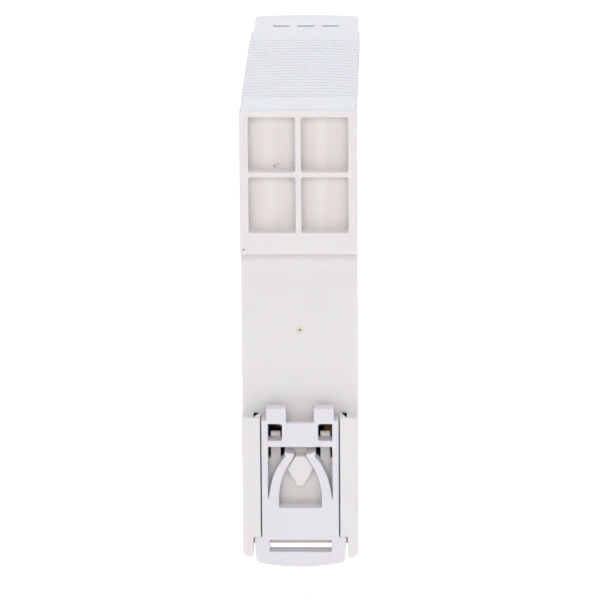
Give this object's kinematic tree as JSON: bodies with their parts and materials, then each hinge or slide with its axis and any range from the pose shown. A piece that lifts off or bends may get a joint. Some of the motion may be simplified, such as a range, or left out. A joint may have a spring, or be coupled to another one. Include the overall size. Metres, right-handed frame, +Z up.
{
  "type": "din rail contactor",
  "caption": "Slim modular contactor for a 35 mm top-hat rail: ribbed white casing, rear hook, spring-legged rail foot, screw terminals, sliding contact mechanism inside.",
  "frame": {"origin": "centre of the flat seat that rests on the front of the rail, at the rail's centre line", "axes": "+Z up, X along the rail, +Y to the rear into the rail, front face towards -Y"},
  "size_m": [0.0226, 0.0864, 0.0918],
  "materials": {
    "base_plastic": "fine moulded satin, slightly warm white",
    "hood_plastic": "fine moulded satin, cool white",
    "foot_plastic": "smooth moulded, cool white",
    "plate_plastic": "light grey, smooth",
    "carrier_plastic": "black thermoset",
    "bobbin_plastic": "natural nylon",
    "chamber_plastic": "grey thermoset",
    "nose_plastic": "orange-red",
    "core_steel": "stacked laminations",
    "spring_steel": "bright drawn wire",
    "screw_steel": "zinc plated",
    "cage_steel": "zinc plated, passivated",
    "copper": "tinned copper strip",
    "contact_silver": "silver alloy",
    "winding_wire": "enamelled copper",
    "pad_rubber": "black",
    "board_laminate": "brown phenolic laminate",
    "capacitor_sleeve": "shrunk sleeve",
    "varistor_coat": "dipped epoxy",
    "rectifier_epoxy": "moulded epoxy",
    "clear_plastic": "clear acrylic"
  },
  "bodies": {
    "casing": {"rear_base": "base_plastic", "hood": "hood_plastic", "front_cap": "hood_plastic", "marking_plate": "plate_plastic", "core_pad": "pad_rubber", "fixed_core": "core_steel", "coil_bobbin": "bobbin_plastic", "coil_winding": "winding_wire", "coil_leads": "winding_wire", "fixed_contacts": "contact_silver", "return_spring": "spring_steel", "spring_post": "base_plastic", "arc_chamber": "chamber_plastic", "control_board": "board_laminate", "light_pipe": "clear_plastic", "line_bar_1": "copper", "line_bar_2": "copper", "load_bar_1": "copper", "load_bar_2": "copper", "coil_bar_upper": "copper", "coil_bar_lower": "copper", "smoothing_capacitor": "capacitor_sleeve", "varistor": "varistor_coat", "rectifier": "rectifier_epoxy", "status_lamp": "clear_plastic"},
    "contact_slide": {"armature": "core_steel", "contact_carrier": "carrier_plastic", "indicator_nose": "nose_plastic", "moving_bridge_1": "copper", "moving_bridge_2": "copper", "contact_springs": "spring_steel"},
    "foot": {"rail_foot": "foot_plastic"},
    "leg_left": {"foot_leg_left": "foot_plastic"},
    "leg_right": {"foot_leg_right": "foot_plastic"},
    "cage_1": {"clamp_cage_1": "cage_steel"},
    "screw_1": {"terminal_screw_1": "screw_steel"},
    "cage_2": {"clamp_cage_2": "cage_steel"},
    "screw_2": {"terminal_screw_2": "screw_steel"},
    "cage_3": {"clamp_cage_3": "cage_steel"},
    "screw_3": {"terminal_screw_3": "screw_steel"},
    "cage_4": {"clamp_cage_4": "cage_steel"},
    "screw_4": {"terminal_screw_4": "screw_steel"},
    "cage_5": {"clamp_cage_5": "cage_steel"},
    "screw_5": {"terminal_screw_5": "screw_steel"},
    "cage_6": {"clamp_cage_6": "cage_steel"},
    "screw_6": {"terminal_screw_6": "screw_steel"}
  },
  "joints": [
    {"name": "foot_slide", "type": "slide", "parent": "casing", "child": "foot", "axis": [0, 0, -1], "range_m": [0, 0.0033], "stiffness_N_per_m": 300, "springref_m": -0.001},
    {"name": "leg_left_flex", "type": "hinge", "parent": "foot", "child": "leg_left", "pos_m": [-0.0052, 0.0024, -0.0353], "axis": [0, -1, 0], "range_deg": [0, 10.5]},
    {"name": "leg_right_flex", "type": "hinge", "parent": "foot", "child": "leg_right", "pos_m": [0.0052, 0.0024, -0.0353], "axis": [0, 1, 0], "range_deg": [0, 10.5]},
    {"name": "contact_slide_travel", "type": "slide", "parent": "casing", "child": "contact_slide", "axis": [0, 1, 0], "range_m": [0, 0.0021], "stiffness_N_per_m": 400, "springref_m": -0.003, "deforming": ["return_spring"]},
    {"name": "screw_1_turn", "type": "hinge", "parent": "casing", "child": "screw_1", "pos_m": [-0.005, -0.0804, 0.036], "axis": [0, 1, 0], "range_deg": [0, 1620]},
    {"name": "cage_1_lift", "type": "slide", "parent": "casing", "child": "cage_1", "axis": [0, -1, 0], "range_m": [0, 0.00225]},
    {"name": "screw_2_turn", "type": "hinge", "parent": "casing", "child": "screw_2", "pos_m": [0, -0.0804, 0.036], "axis": [0, 1, 0], "range_deg": [0, 1620]},
    {"name": "cage_2_lift", "type": "slide", "parent": "casing", "child": "cage_2", "axis": [0, -1, 0], "range_m": [0, 0.00225]},
    {"name": "screw_3_turn", "type": "hinge", "parent": "casing", "child": "screw_3", "pos_m": [0.005, -0.0804, 0.036], "axis": [0, 1, 0], "range_deg": [0, 1620]},
    {"name": "cage_3_lift", "type": "slide", "parent": "casing", "child": "cage_3", "axis": [0, -1, 0], "range_m": [0, 0.00225]},
    {"name": "screw_4_turn", "type": "hinge", "parent": "casing", "child": "screw_4", "pos_m": [-0.005, -0.0804, -0.0405], "axis": [0, 1, 0], "range_deg": [0, 1620]},
    {"name": "cage_4_lift", "type": "slide", "parent": "casing", "child": "cage_4", "axis": [0, -1, 0], "range_m": [0, 0.00225]},
    {"name": "screw_5_turn", "type": "hinge", "parent": "casing", "child": "screw_5", "pos_m": [0, -0.0804, -0.0405], "axis": [0, 1, 0], "range_deg": [0, 1620]},
    {"name": "cage_5_lift", "type": "slide", "parent": "casing", "child": "cage_5", "axis": [0, -1, 0], "range_m": [0, 0.00225]},
    {"name": "screw_6_turn", "type": "hinge", "parent": "casing", "child": "screw_6", "pos_m": [0.005, -0.0804, -0.0405], "axis": [0, 1, 0], "range_deg": [0, 1620]},
    {"name": "cage_6_lift", "type": "slide", "parent": "casing", "child": "cage_6", "axis": [0, -1, 0], "range_m": [0, 0.00225]}
  ],
  "couplings": [
    {"joint": "leg_left_flex", "follows": "foot_slide", "rad_per_m": 54},
    {"joint": "leg_right_flex", "follows": "foot_slide", "rad_per_m": 54},
    {"joint": "screw_1_turn", "follows": "cage_1_lift", "rad_per_m": 12566},
    {"joint": "screw_2_turn", "follows": "cage_2_lift", "rad_per_m": 12566},
    {"joint": "screw_3_turn", "follows": "cage_3_lift", "rad_per_m": 12566},
    {"joint": "screw_4_turn", "follows": "cage_4_lift", "rad_per_m": 12566},
    {"joint": "screw_5_turn", "follows": "cage_5_lift", "rad_per_m": 12566},
    {"joint": "screw_6_turn", "follows": "cage_6_lift", "rad_per_m": 12566}
  ]
}
